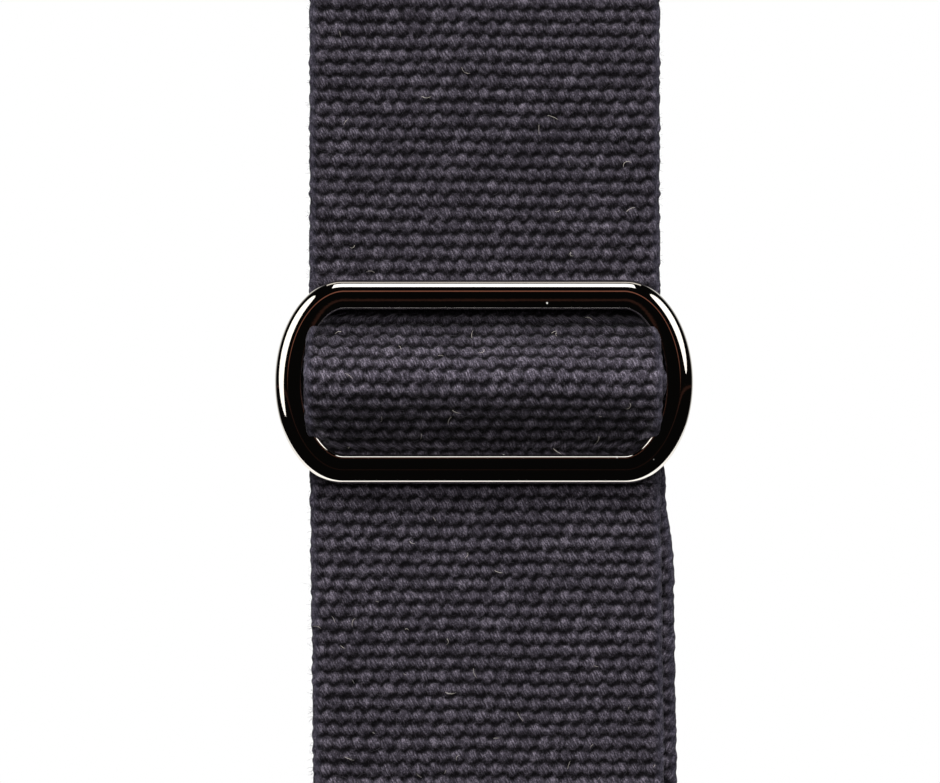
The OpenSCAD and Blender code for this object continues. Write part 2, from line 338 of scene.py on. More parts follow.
def webbing(name, path, body, *replaced, start=0.0, fine=(), shift=None, squeeze=None, curl=None,
            wear_and_painted_light=None, columns=6, rows=3):
    """A closed woven strip along a path, with its weave counted from start.

    shift and squeeze move it sideways and narrow it, curl lifts it, and the function given last paints light
    and shade into the colour, setting how pale the strip is by height.
    columns and rows are the points drawn for each yarn bump and the sections for each row of the weave.
    """
    ring = section(int(round((WEB_W - 2 * CORE) / (2 * WARP / columns))) + 1)
    s = row_places(path.length, fine, rows)
    along = s + start
    x, off, nx, nm, u = [ring[None, :, k] for k in range(5)]
    height, tint = weave(np.broadcast_to(u, (len(s), len(ring))), along + 0 * u, np.where(nm < -0.5, 1, 0))
    selvedge = np.abs(nx)
    band = 0.6 * ease((np.abs(x) - WEB_W / 2 + 1.0) / 0.4)
    scallop = 0.5 + 0.12 * np.cos(2 * np.pi * along / PICK) + 0.5 * LUMP(x * 0, along * 0.9)
    height = height * (1 - 0.35 * band) * (1 - selvedge) + scallop * selvedge
    px = x + nx * YARN * height * 0.7
    m = off + nm * YARN * height
    if squeeze is not None:
        px = px * squeeze(s, x)
    if shift is not None:
        px = px + shift(s)
    y, z, ny, nz = [c[:, None] for c in path.at(s[:, 0])]
    py, pz = y + ny * m, z + nz * m
    if curl is not None:
        py = py + curl(px, pz, y + np.abs(ny) * WEB_T / 2)
    attributes = {
        "weave_u": np.broadcast_to(u, height.shape), "weave_v": along + 0 * u,
        "height": height, "tint": tint * (1 - selvedge),
        "edge": np.broadcast_to(np.maximum(selvedge, band), height.shape),
        "wear_and_painted_light": np.broadcast_to(0.5 if wear_and_painted_light is None else wear_and_painted_light(z), height.shape),
    }
    points = np.stack([px, py, pz], -1).reshape(-1, 3)
    piece = mesh_piece(name, points, strip_faces(len(s), len(ring)), attributes=attributes)
    return finish_piece(piece, COTTON, body, "webbing", *replaced)


# ---------------------------------------------------------------- materials

class Nodes:
    """Short helper for building a node tree."""

    def __init__(self, name):
        self.material = bpy.data.materials.new(name)
        self.material.use_nodes = True
        self.tree = self.material.node_tree
        self.shader = self.tree.nodes["Principled BSDF"]

    def feed(self, socket, value):
        """Sets a socket to a number or a colour, or links another node's output to it."""
        if isinstance(value, bpy.types.NodeSocket):
            self.tree.links.new(value, socket)
        elif isinstance(value, tuple):
            socket.default_value = (*value, 1)
        else:
            socket.default_value = value

    def node(self, kind, **values):
        n = self.tree.nodes.new("ShaderNode" + kind)
        for key, value in values.items():
            if hasattr(n, key):
                setattr(n, key, value)
            else:
                self.feed(n.inputs[key.replace("_", " ")], value)
        return n

    def math(self, operation, *values, clamp=False):
        n = self.node("Math", operation=operation, use_clamp=clamp)
        for socket, value in zip(n.inputs, values):
            self.feed(socket, value)
        return n.outputs[0]

    def times(self, a, b):
        return self.math("MULTIPLY", a, b)

    def attribute(self, name):
        return self.node("Attribute", attribute_name=name).outputs["Fac"]

    def vector(self, x, y, z=0.0):
        return self.node("CombineXYZ", X=x, Y=y, Z=z).outputs[0]

    def noise(self, vector, scale, detail=3.0, rough=0.6):
        n = self.node("TexNoise", Scale=scale, Detail=detail, Roughness=rough, Vector=vector)
        return n.outputs["Fac"]

    def ramp(self, value, *stops):
        n = self.node("ValToRGB", Fac=value)
        while len(n.color_ramp.elements) < len(stops):
            n.color_ramp.elements.new(0.5)
        for element, (place, colour) in zip(n.color_ramp.elements, stops):
            element.position = place
            element.color = (*colour, 1)
        return n.outputs[0]

    def mix(self, factor, a, b, blend="MIX"):
        n = self.node("Mix", data_type="RGBA", blend_type=blend)
        for index, value in ((0, factor), (6, a), (7, b)):
            self.feed(n.inputs[index], value)
        return n.outputs[2]

    def bump(self, height, distance, strength=1.0):
        return self.node("Bump", Height=height, Strength=strength, Distance=distance).outputs[0]

    def set(self, **values):
        for key, value in values.items():
            self.feed(self.shader.inputs[key.replace("_", " ")], value)
        return self.material


class WorldNodes(Nodes):
    """The same helper for the world's tree."""

    def __init__(self, name):
        world = bpy.data.worlds.new(name)
        bpy.context.scene.world = world
        world.use_nodes = True
        self.tree = world.node_tree
        self.tree.nodes.clear()


def cotton():
    """Charcoal cotton yarn: slanted fibre streaks on each yarn bump, painted shade darkening it between the
    yarns, and painted light and shade along the strip.
    """
    n = Nodes("charcoal_cotton")
    u, v = n.attribute("weave_u"), n.attribute("weave_v")
    height, tint, edge = n.attribute("height"), n.attribute("tint"), n.attribute("edge")
    lean = math.radians(64)                 # slant of the fibres on each yarn bump
    across = n.math("ADD", n.times(u, math.sin(lean)), n.times(v, -math.cos(lean)))
    along = n.math("ADD", n.times(u, math.cos(lean)), n.times(v, math.sin(lean)))
    flow = n.vector(n.times(across, 4.3), n.times(along, 1.0), n.times(tint, 3.0))
    fibre = n.noise(flow, 1.0, 3.0, 0.7)
    place = n.vector(u, v)
    fuzz = n.noise(place, 4.5, 4.0, 0.8)
    patch = n.noise(place, 0.09, 2.0, 0.5)
    streak = n.ramp(fibre, (0.40, (0, 0, 0)), (0.60, (1, 1, 1)))
    grit = n.ramp(fuzz, (0.36, (0, 0, 0)), (0.66, (1, 1, 1)))
    light = n.math("ADD", n.times(streak, 0.45), n.times(grit, 0.42))
    light = n.math("ADD", light, n.times(tint, 0.06))
    light = n.math("ADD", light, n.times(n.math("SUBTRACT", patch, 0.5), 0.12), clamp=True)
    colour = n.ramp(light, (0.06, (0.0092, 0.0079, 0.0104)), (0.50, (0.062, 0.0540, 0.0710)),
                    (0.94, (0.290, 0.258, 0.314)))
    # Painted shade: the colour is darkened where the yarns are low, between the bumps, where shade falls.
    painted_cavity_shade = n.ramp(height, (0.0, (0.07, 0.07, 0.07)), (0.25, (0.36, 0.36, 0.36)), (0.72, (1, 1, 1)))
    colour = n.mix(1.0, colour, painted_cavity_shade, "MULTIPLY")
    # Painted light and shade: each point's factor makes the strip paler where light falls and darker in
    # shade.
    painted_light_factor = n.math("MULTIPLY_ADD", n.attribute("wear_and_painted_light"), 0.9, 0.55)
    colour = n.mix(1.0, colour, painted_light_factor, "MULTIPLY")
    wisp = n.vector(n.times(across, 3.1), n.times(along, 0.9))
    stray = n.ramp(n.noise(wisp, 1.0, 4.0, 0.75), (0.55, (0, 0, 0)), (0.72, (0.45, 0.45, 0.45)))
    colour = n.mix(stray, colour, (0.105, 0.094, 0.115))
    side = n.ramp(fibre, (0.36, (0.024, 0.022, 0.034)), (0.66, (0.150, 0.140, 0.196)))
    colour = n.mix(n.times(edge, 0.55), colour, side)
    relief = n.math("ADD", n.times(fibre, 0.8), n.times(fuzz, 0.7))
    return n.set(Base_Color=colour, Roughness=0.95, Specular_IOR_Level=0.15,
                 Sheen_Weight=0.06, Sheen_Roughness=0.4, Normal=n.bump(relief, 0.22 * MM, 1.0))


def black_nickel():
    """Polished black nickel plate with faint polishing marks and a few specks of dust."""
    n = Nodes("black_nickel")
    place = n.node("TexCoord").outputs["Object"]
    haze = n.noise(place, 220.0, 3.0, 0.6)
    marks = n.noise(place, 2600.0, 2.0, 0.5)
    dust = n.node("TexVoronoi", Vector=place, Scale=420.0)
    speck = n.ramp(dust.outputs["Distance"], (0.03, (1, 1, 1)), (0.07, (0, 0, 0)))
    pick = n.node("TexWhiteNoise", noise_dimensions="3D", Vector=dust.outputs["Position"])
    rare = n.math("GREATER_THAN", pick.outputs["Value"], 0.60)
    speck = n.times(speck, rare)
    rough = n.math("ADD", n.times(haze, 0.03), 0.012)
    rough = n.math("ADD", rough, n.times(speck, 0.6))
    colour = n.mix(speck, (0.60, 0.575, 0.54), (0.8, 0.79, 0.76))
    metal = n.math("SUBTRACT", 1.0, speck, clamp=True)
    return n.set(Base_Color=colour, Metallic=metal, Roughness=rough,
                 Normal=n.bump(marks, 0.002 * MM, 0.5))


def leather(name, base, grain=1.0):
    """Grained leather: cells and creases, slightly shinier on the high spots."""
    n = Nodes(name)
    place = n.node("TexCoord").outputs["Object"]
    warp = n.noise(place, 700.0, 2.0, 0.5)
    cells = n.node("TexVoronoi", feature="DISTANCE_TO_EDGE", Scale=1150.0)
    bent = n.node("VectorMath", operation="ADD")
    soft = n.node("VectorMath", operation="SCALE", Vector=n.vector(warp, warp, warp), Scale=0.0006)
    n.feed(bent.inputs[0], place)
    n.feed(bent.inputs[1], soft.outputs[0])
    n.feed(cells.inputs["Vector"], bent.outputs[0])
    groove = n.ramp(cells.outputs["Distance"], (0.0, (0, 0, 0)), (0.16, (1, 1, 1)))
    pores = n.noise(place, 2600.0, 3.0, 0.6)
    wear_and_painted_light = n.noise(place, 90.0, 4.0, 0.6)
    edge = n.attribute("rim")
    tone = n.math("ADD", n.times(wear_and_painted_light, 0.6), n.times(pores, 0.3), clamp=True)
    dark = tuple(0.55 * c for c in base)
    pale = tuple(min(2.1 * c + 0.004, 1) for c in base)
    colour = n.ramp(tone, (0.25, dark), (0.5, base), (0.8, pale))
    colour = n.mix(n.times(n.math("SUBTRACT", 1.0, groove), 0.55), colour, dark)
    colour = n.mix(n.times(edge, n.times(wear_and_painted_light, 0.75)), colour,
                   tuple(min(3.2 * c + 0.012, 1) for c in base))
    rough = n.math("ADD", 0.42, n.times(tone, 0.22))
    height = n.math("ADD", n.times(groove, 0.8), n.times(pores, 0.35))
    return n.set(Base_Color=colour, Roughness=rough, Specular_IOR_Level=0.45,
                 Normal=n.bump(height, 0.09 * MM * grain, 1.0))


def thread():
    """Waxed black thread, twisted."""
    n = Nodes("waxed_thread")
    along = n.attribute("along")
    place = n.node("TexCoord").outputs["Object"]
    twist = n.math("SINE", n.math("ADD", n.times(along, 14.0), n.attribute("turn")))
    fluff = n.noise(place, 4200.0, 3.0, 0.6)
    tone = n.math("ADD", n.times(twist, 0.25), n.times(fluff, 0.9), clamp=True)
    colour = n.ramp(tone, (0.2, (0.012, 0.012, 0.013)), (0.8, (0.060, 0.060, 0.064)))
    return n.set(Base_Color=colour, Roughness=0.55, Specular_IOR_Level=0.4,
                 Normal=n.bump(tone, 0.08 * MM, 1.0))


def loose_fibre():
    """Loose cotton fibres, dark to grey, with pale lint."""
    n = Nodes("loose_cotton_fibre")
    tone = n.attribute("tone")
    place = n.node("TexCoord").outputs["Object"]
    vary = n.noise(place, 900.0, 2.0, 0.5)
    colour = n.ramp(tone, (0.0, (0.030, 0.027, 0.033)), (0.35, (0.12, 0.11, 0.125)),
                    (1.0, (0.85, 0.79, 0.69)))
    colour = n.mix(n.times(vary, 0.4), colour, (0.05, 0.046, 0.052))
    return n.set(Base_Color=colour, Roughness=0.8, Specular_IOR_Level=0.3)


COTTON = cotton()
NICKEL = black_nickel()
LEATHER_FACE = leather("black_grain_leather", (0.0120, 0.0110, 0.0105))
LEATHER_BACK = leather("black_backing_leather", (0.0155, 0.0140, 0.0132), 0.7)
THREAD = thread()
FIBRE = loose_fibre()


# ---------------------------------------------------------------- the webbing's lengths

def build_back_run():
    path = Path(np.vstack([
        [[BACK_Y, TAB_Z]],
        arc(FRONT_Y + FOLD_R, FOLD_Z, FOLD_R, 0, 180),
        [[FRONT_Y, FOLD_Z - 1]],
    ]))
    piece = webbing("woven_back_run", path, None, "webbing_back_run", columns=5)
    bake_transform(piece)
    return path.length


def build_front_layer(start):
    """The front layer is carried on behind the slider, so that it closes where the slider leaves."""
    top, bottom = FOLD_Z - 1, RING_Z + 1
    near, far, behind = RAIL_Z - 0.1, RAIL_Z + 1.8, FRONT_Y + 0.5
    path = Path([
        [FRONT_Y, top], [FRONT_Y, SLIDER_Z + far], [behind, SLIDER_Z + near],
        [behind, SLIDER_Z - near], [FRONT_Y, SLIDER_Z - far], [FRONT_Y, bottom],
    ])
    down = top - SLIDER_Z
    piece = webbing("woven_front_layer", path, None, "webbing_upper_run", "webbing_front_run",
                    start=start, fine=((down - 58, down + 60),),
                    shift=lambda s: 0.1 + 0.55 * ease((s - down) / 60),
                    # Painted light: the front layer is made paler below the slider.
                    wear_and_painted_light=lambda z: 0.5 + 0.10 * ease((SLIDER_Z - z) / 12))
    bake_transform(piece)


LOOP_R = BAR_R + GAP + WEB_T / 2        # webbing sewn round the slider's bar
OVER_R = LOOP_R + WEB_T + GAP           # webbing lying over that loop


def over_bar_path():
    """From the front layer over the bar and back to the front layer."""
    foot = (FRONT_Y - BAR_Y, RAIL_Z - 1)
    a = touch(foot, OVER_R, 1)
    y = FRONT_Y
    return np.vstack([
        [[y, SLIDER_Z + SPLIT - 0.6], [y, SLIDER_Z + foot[1]]],
        arc(BAR_Y, SLIDER_Z, OVER_R, a, 360 - a),
        [[y, SLIDER_Z - foot[1]], [y, SLIDER_Z - SPLIT + 0.6]],
    ])


def window_squeeze(path, narrow, lowest=-SLIDER_H):
    """How far the slider's round ends draw the webbing's edges in, along a path."""
    def squeeze(s, x):
        z = path.at(s[:, 0])[1][:, None] - SLIDER_Z
        waist = np.exp(-((np.abs(z) - np.where(x < 0, 10.0, 9.5)) / narrow) ** 2)
        swell = np.exp(-(z / 6.0) ** 4)
        return 1 + (0.016 * swell - 0.106 * waist) * (z > lowest)
    return squeeze


def curl_over_ends(x, z, back):
    """Lifts the roll's edges forward, clear of the slider's ends that they lie on."""
    away = np.abs(z - SLIDER_Z)
    window = SLIDER_W / 2 - END_W + (END_W - BAND) * np.sqrt(np.clip(1 - (away / RAIL_Z) ** 2, 0, 1))
    need = np.clip(back - (SLIDER_Y - SLIDER_T / 2 - 0.05), 0, 2.0)
    top = np.where(x < 0, 9.9, 9.3)
    return -need * ease((np.abs(x) - window + 1.8) / 1.8) * ease((top - away) / 1.1)


def build_over_bar():
    path = Path(over_bar_path(), soften=2.2)
    webbing("woven_over_bar", path, "adjuster", "webbing_over_bar",
            start=0.7, fine=((0, path.length + 1),), columns=7,
            squeeze=window_squeeze(path, 1.35), curl=curl_over_ends,
            shift=lambda s: -0.1 + 0.2 * ease((4 - s) / 3) + 0.3 * ease((s - path.length + 4) / 3),
            # Painted light and shade: the roll over the bar is palest at its crest and darker towards the
            # rails, where shade falls.
            wear_and_painted_light=lambda z: 0.09 + 0.92 * np.exp(-((z - SLIDER_Z - 0.8) / 4.6) ** 2))
    return path


def build_bar_loop():
    foot = (FRONT_Y - BAR_Y, 1 - RAIL_Z)
    a_in = touch(foot, OVER_R, -1)
    below = RETURN_Y - BAR_Y
    knee = (below, (LOOP_R - below * math.cos(math.radians(a_in))) / math.sin(math.radians(a_in)))
    flap = below + WEB_T + GAP
    back_knee = (flap, knee[1] + 1)
    a_out = touch(back_knee, LOOP_R, 1) - 360
    end_z = loop_low[2] - SLIDER_Z
    points = np.vstack([
        [[below, -SPLIT]], [knee],
        arc(0, 0, LOOP_R, a_in, a_out),
        [back_knee], [[flap + 0.6, end_z]],
    ]) + [BAR_Y, SLIDER_Z]
    path = Path(points, soften=1.2)
    webbing("woven_bar_loop", path, "adjuster", "webbing_bar_loop", start=1.1, columns=5,
            squeeze=window_squeeze(path, 2.4, lowest=-9.5),
            shift=lambda s: 0.5 + 0.5 * ease((5 - s) / 4))
    return path


def build_return_run():
    top, bottom = SLIDER_Z - SPLIT, RING_Z + 1
    path = Path([[RING_Y + TURN_R, bottom], [RETURN_Y, top]])
    length = path.length
    piece = webbing(
        "woven_return_run", path, "adjuster", "webbing_return_run",
        start=0.4, columns=5, fine=((length - 50, length + 1),),
        shift=lambda s: (1.0 + 1.2 * ease((length - s) / 12) + 0.6 * ease((length - s - 8) / 50)
                         - 2.3 * ease((length - s - 60) / 200)))
    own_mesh(piece)


def build_ring_turn():
    path = Path(np.vstack([
        [[FRONT_Y, RING_Z + 1]],
        arc(RING_Y, RING_Z, TURN_R, 180, 360),
        [[RING_Y + TURN_R, RING_Z + 1]],
    ]))
    webbing("woven_ring_turn", path, "ring_turn", "webbing_ring_turn", start=0.2, rows=5,
            shift=lambda s: 0.5 - 0.5 * s / path.length)


def build_front_end():
    path = Path([[BACK_Y, end_low[2]], [BACK_Y, TAB_Z]])
    webbing("woven_front_end", path, "front_tab", "webbing_front_end", start=0.9, columns=4)


# ---------------------------------------------------------------- metal

def loop_mesh(name, outline, inward, profile, centre, body, replaced):
    """A nickel piece: a closed profile of (inset, depth) points swept round a closed (x, z) outline."""
    n, k = len(outline), len(profile)
    x, z = [outline[:, c, None] + inward[:, c, None] * profile[None, :, 0] for c in (0, 1)]
    y = np.broadcast_to(profile[None, :, 1], x.shape)
    points = np.stack([x, y, z], -1).reshape(-1, 3) + [0, *centre]
    i, j = np.meshgrid(np.arange(n), np.arange(k), indexing="ij")
    i2, j2 = (i + 1) % n, (j + 1) % k
    quads = np.stack([i * k + j, i2 * k + j, i2 * k + j2, i * k + j2], -1).reshape(-1, 4)
    finish_piece(mesh_piece(name, points, quads), NICKEL, body, "black_nickel", replaced)


def slider_outline():
    """Straight rails with half-elliptical ends, and the unit direction inwards at each point."""
    half_h, straight = SLIDER_H / 2, SLIDER_W / 2 - END_W
    points, inward = [], []
    for side in (1, -1):
        a = np.radians(np.linspace(-90, 90, 140) + (0 if side > 0 else 180))
        points.append(np.column_stack([side * straight + END_W * np.cos(a), half_h * np.sin(a)]))
        out = np.column_stack([np.cos(a) / END_W, np.sin(a) / half_h])
        inward.append(-out / np.linalg.norm(out, axis=1)[:, None])
        rail = np.linspace(straight, -straight, 26)[1:-1] * side
        points.append(np.column_stack([rail, np.full(len(rail), side * half_h)]))
        inward.append(np.tile([0.0, -side], (len(rail), 1)))
    return np.vstack(points), np.vstack(inward)


def slider_profile():
    """Section of the band: small outer round, long slope up to a flat face, small inner round."""
    outer, inner = 1.1, 0.60                # radii of the rounds
    tilt, dip, top = 30.0, 2.5, 2.05        # slopes at the outer and inner rounds; where it is level
    a = np.radians(np.linspace(90, tilt, 26))
    rows = [(0.0, 0.0), (0.0, 0.1)]
    rows += list(zip(outer * (1 - np.sin(a)), 0.2 + outer * np.cos(a)))
    start = outer * (1 - math.sin(math.radians(tilt)))
    end = BAND - inner * (1 - math.sin(math.radians(dip)))
    x = np.linspace(start, end, 44)[1:]
    slope = np.where(x < top, tilt * (top - x) / (top - start), -dip * (x - top) / (end - top))
    depth = rows[-1][1] + np.cumsum(np.tan(np.radians(slope)) * (x[1] - x[0]))
    rows += list(zip(x, depth))
    a = np.radians(np.linspace(dip, 90, 18))[1:]
    low = depth[-1] - inner * math.cos(math.radians(dip))
    rows += list(zip(BAND - inner * (1 - np.sin(a)), low + inner * np.cos(a)))
    rows = np.array(rows + [(BAND, 0.0)])
    rows[:, 1] *= SLIDER_T / 2 / rows[:, 1].max()
    return np.vstack([rows * [1, -1], rows[::-1][1:-1]])


def build_slider():
    outline, inward = slider_outline()
    loop_mesh("slider_frame_shell", outline, inward, slider_profile(), (SLIDER_Y, SLIDER_Z),
              "adjuster", "slider_frame")
    bar = frame["nodes"]["slider_bar"]
    bar.data.materials.clear()
    bar.data.materials.append(NICKEL)


def build_ring():
    half_w = (ring_high[0] - ring_low[0]) / 2
    half_h = (ring_high[2] - ring_low[2]) / 2
    corner = 2 * WIRE_R + 1.0
    points, inward = [], []
    for side, (cx, cz) in enumerate(((1, 1), (-1, 1), (-1, -1), (1, -1))):
        a = np.radians(np.linspace(0, 90, 15) + 90 * side)
        out = np.column_stack([np.cos(a), np.sin(a)])
        points.append([cx * (half_w - corner), cz * (half_h - corner)] + corner * out)
        inward.append(-out)
    a = np.radians(np.arange(0, 360, 15))
    profile = np.column_stack([WIRE_R - WIRE_R * np.cos(a), WIRE_R * np.sin(a)])
    loop_mesh("tail_ring_wire", np.vstack(points), np.vstack(inward), profile,
              (RING_Y, (RING_Z + LOWER_BAR_Z) / 2), "tail_ring", "tail_ring")


# ---------------------------------------------------------------- leather

def tab_edge(width, straight, reach, nose, inset=0.0, step=1.0):
    """Right-hand edge of a tab from its straight side round to the tip, as (x, distance down)."""
    w, r = width / 2 - inset, nose - inset
    shoulder = np.array([w, straight])
    to = shoulder - [0, reach]
    a = math.atan2(-to[1], to[0]) - math.acos(r / np.hypot(*to))
    tangent = np.array([r * math.cos(a), reach - r * math.sin(a)])
    turn = np.linspace(a, -math.pi / 2, max(int(r * (a + math.pi / 2) / step), 4))
    nose_points = np.column_stack([r * np.cos(turn), reach - r * np.sin(turn)])
    return shoulder, tangent, nose_points


def dense(points, step):
    """The same line with points no further apart than step."""
    rows = []
    for a, b in zip(points[:-1], points[1:]):
        count = max(int(np.ceil(np.linalg.norm(b - a) / step)), 1)
        rows += [a + (b - a) * t / count for t in range(count)]
    return np.array(rows + [points[-1]])


def keyhole(reach, up=-1):
    """Button hole with its slit, as a closed loop of (x, distance down)."""
    slit, slit_half = 12.0, 0.4
    open_a = math.asin(slit_half / HOLE_R)
    a = np.linspace(math.pi / 2 + open_a, 5 * math.pi / 2 - open_a, 48)
    circle = np.column_stack([HOLE_R * np.cos(a), reach + up * HOLE_R * np.sin(a)])
    end = reach + up * (HOLE_R + slit)
    tip = np.radians(np.linspace(0, 180, 7))
    cap = np.column_stack([slit_half * np.cos(tip), end + up * slit_half * np.sin(tip)])
    sides = np.vstack([circle, cap])
    return dense(np.vstack([sides, sides[:1]]), 0.8)[:-1]


def nearest(points, loops):
    """Distance from each point to the closest of the closed loops."""
    best = np.full(len(points), 1e9)
    for loop in loops:
        a, b = loop, np.roll(loop, -1, axis=0)
        d = b - a
        size = np.maximum((d * d).sum(1), 1e-12)
        for k in range(0, len(points), 2000):
            p = points[k:k + 2000, None, :]
            t = np.clip(((p - a) * d).sum(-1) / size, 0, 1)
            gap = np.linalg.norm(p - (a + d * t[..., None]), axis=-1)
            best[k:k + 2000] = np.minimum(best[k:k + 2000], gap.min(1))
    return best


def inside(points, loop):
    x, y = points[:, 0][:, None], points[:, 1][:, None]
    ax, ay = loop[:, 0], loop[:, 1]
    bx, by = np.roll(ax, -1), np.roll(ay, -1)
    crosses = ((ay > y) != (by > y)) & (x < (bx - ax) * (y - ay) / (by - ay + 1e-30) + ax)
    return crosses.sum(1) % 2 == 1


def flat_mesh(outline, holes, step=1.0):
    """Triangles that fill an outline with holes, closer together near the edges."""
    loops = [outline] + holes
    low, high = outline.min(0), outline.max(0)
    gx, gy = np.meshgrid(*[np.arange(low[k] + step / 2, high[k], step) for k in (0, 1)])
    cloud = [np.column_stack([gx.ravel(), gy.ravel()])]
    for offset in (0.12, 0.3, 0.55, 0.85):
        for loop in loops:
            way = np.roll(loop, -1, axis=0) - np.roll(loop, 1, axis=0)
            out = np.column_stack([way[:, 1], -way[:, 0]])
            out /= np.maximum(np.linalg.norm(out, axis=1), 1e-9)[:, None]
            cloud += [loop + out * offset, loop - out * offset]
    cloud = np.vstack(cloud)

    def in_leather(points):
        ok = inside(points, outline)
        for hole in holes:
            ok &= ~inside(points, hole)
        return ok

    cloud = cloud[in_leather(cloud)]
    cloud = cloud[nearest(cloud, loops) > 0.1]
    first_in_cell = np.unique(np.round(cloud / 0.16).astype(int), axis=0, return_index=True)[1]
    every = np.vstack(loops + [cloud[np.sort(first_in_cell)]])
    edges, first = [], 0
    for loop in loops:
        edges += [(first + i, first + (i + 1) % len(loop)) for i in range(len(loop))]
        first += len(loop)
    result = geometry.delaunay_2d_cdt([tuple(p) for p in every], edges, [], 1, 1e-5)
    flat = np.array([tuple(p) for p in result[0]])
    faces = np.array([f for f in result[2] if len(f) == 3])
    faces = faces[in_leather(flat[faces].mean(1))]
    a, b, c = flat[faces[:, 0]], flat[faces[:, 1]], flat[faces[:, 2]]
    wrong = (b[:, 0] - a[:, 0]) * (c[:, 1] - a[:, 1]) - (b[:, 1] - a[:, 1]) * (c[:, 0] - a[:, 0]) < 0
    faces[wrong] = faces[wrong][:, ::-1]
    used, faces = np.unique(faces, return_inverse=True)
    return flat[used], faces.reshape(-1, 3)


def sheet(name, outline, holes, path, grooves, material, body, replaced):
    """A leather sheet with rounded edges and pressed stitch lines, laid along a (y, z) path."""
    flat, faces = flat_mesh(outline, holes)
    distance = nearest(flat, [outline] + holes)
    round_r, groove_depth, groove_w = 0.75, 0.16, 0.55
    edge = np.clip(1 - distance / round_r, 0, 1)
    half = SHEET_T / 2 - round_r * (1 - np.sqrt(1 - edge ** 2)) * 0.9
    half -= groove_depth * np.exp(-(nearest(flat, grooves) / groove_w) ** 2)
    y, z, ny, nz = path.at(flat[:, 1])
    layers = [np.column_stack([flat[:, 0], y + ny * offset, z + nz * offset])
              for offset in (half, -half)]
    sides = dict.fromkeys((int(tri[k]), int(tri[(k + 1) % 3])) for tri in faces for k in range(3))
    n = len(flat)
    parts = [tuple(map(int, f)) for f in faces] + [tuple(int(i) + n for i in f[::-1]) for f in faces]
    parts += [(q, p, p + n, q + n) for p, q in sides if (q, p) not in sides]
    rim = np.clip(1 - distance / 1.4, 0, 1)
    piece = mesh_piece(name, np.vstack(layers), parts, attributes={"rim": np.r_[rim, rim]})
    finish_piece(piece, material, body, "leather", replaced)


def tab_outline(width, straight, reach, nose):
    """Closed outline of a tab as (x, distance down)."""
    shoulder, tangent, nose_points = tab_edge(width, straight, reach, nose)
    cut = 1.5                               # the top corners are cut off
    right = dense(np.vstack([
        [[0, 0], [width / 2 - cut, 0], [width / 2, cut], shoulder, tangent], nose_points[1:],
    ]), 1.0)
    return np.vstack([right, right[::-1][1:-1] * [-1, 1]])


def stitch_line(width, straight, reach, nose, inset, start):
    """Line of stitches inside a tab's edge, down one side, round the nose and up the other."""
    shoulder, tangent, nose_points = tab_edge(width, straight, reach, nose, inset, step=0.5)
    right = np.vstack([[[width / 2 - inset, start]], [shoulder], [tangent], nose_points[1:]])
    left = right[::-1][1:] * [-1, 1]
    return dense(np.vstack([right, left]), 0.5)


FRONT_TAB = dict(width=face_high[0] - face_low[0], straight=38.0,
                 reach=LEATHER_Z - FRONT_HOLE_Z, nose=TIP_R)
TAIL_WIDTH = tail_high[0] - tail_low[0]


def front_tab_path(side):
    """Middle of the front tab's outer (side 1) or inner (side -1) leather, from its top down."""
    open_y = BACK_Y + side * (WEB_T / 2 + 0.03 + LEATHER / 2)
    shut_y = BACK_Y + side * (0.02 + LEATHER / 2)
    tip = FRONT_TAB["reach"] + FRONT_TAB["nose"] + 1
    sewn = LEATHER_Z - end_low[2]
    rows = [[open_y, 0], [open_y, sewn + 1], [shut_y, sewn + 9], [shut_y, tip]]
    points = np.array([[y, LEATHER_Z - d] for y, d in rows])
    return Path(points, soften=3.0)


def stitches(name, lines, body, replaced, pitch=3.0, thick=0.62):
    """Raised threads along 3-D lines. Each line is (points, unit outward directions)."""
    points, faces, along, turn = [], [], [], []
    ring, length = 8, 9
    t = np.linspace(-1, 1, length)
    radius = thick / 2 * (1 - 0.35 * np.abs(t) ** 4)
    rng = np.random.default_rng(len(lines) * 31 + len(name))
    for line, out in lines:
        run = np.r_[0, np.cumsum(np.linalg.norm(np.diff(line, axis=0), axis=1))]
        count = max(int(round(run[-1] / pitch)), 1)
        for i in range(count):
            s = (i + np.linspace(0.10, 0.90, length)) * run[-1] / count
            centre, up = [np.column_stack([np.interp(s, run, c[:, k]) for k in range(3)])
                          for c in (line, out)]
            up /= np.linalg.norm(up, axis=1)[:, None]
            rise = thick * (0.42 - 0.75 * np.abs(t) ** 3) * (1 + 0.08 * rng.uniform(-1, 1))
            way = np.gradient(centre, axis=0)
            way /= np.linalg.norm(way, axis=1)[:, None]
            side = np.cross(way, up)
            centre = centre + up * rise[:, None] + side * (0.06 * rng.uniform(-1, 1))
            add_tube(points, faces, centre, radius, side, up * 0.85, ring)
            along.extend(np.repeat(s, ring))
            turn.extend(np.tile(4 * np.pi * np.arange(ring) / ring, length))
    piece = mesh_piece(name, np.array(points), faces, attributes={"along": along, "turn": turn})
    finish_piece(piece, THREAD, body, "thread", replaced)


def on_path(path, line, offset, side=1):
    """A flat line laid on one face of a path, with the outward direction at each point."""
    y, z, ny, nz = path.at(line[:, 1])
    points = np.column_stack([line[:, 0], y + side * ny * offset, z + side * nz * offset])
    out = np.column_stack([np.zeros(len(line)), side * ny, side * nz])
    return points, out


def box_lines(width, top, bottom):
    """A sewn box with a cross in it, as flat lines of (x, distance)."""
    w = width / 2
    box = dense(np.array([[w, top], [w, bottom], [-w, bottom], [-w, top], [w, top]], float), 0.5)
    k = 0.93
    m = (top + bottom) / 2
    h = (bottom - top) / 2 * k
    one = dense(np.array([[w * k, m - h], [-w * k, m + h]]), 0.5)
    two = dense(np.array([[-w * k, m - h], [w * k, m + h]]), 0.5)
    return [box, one, two]


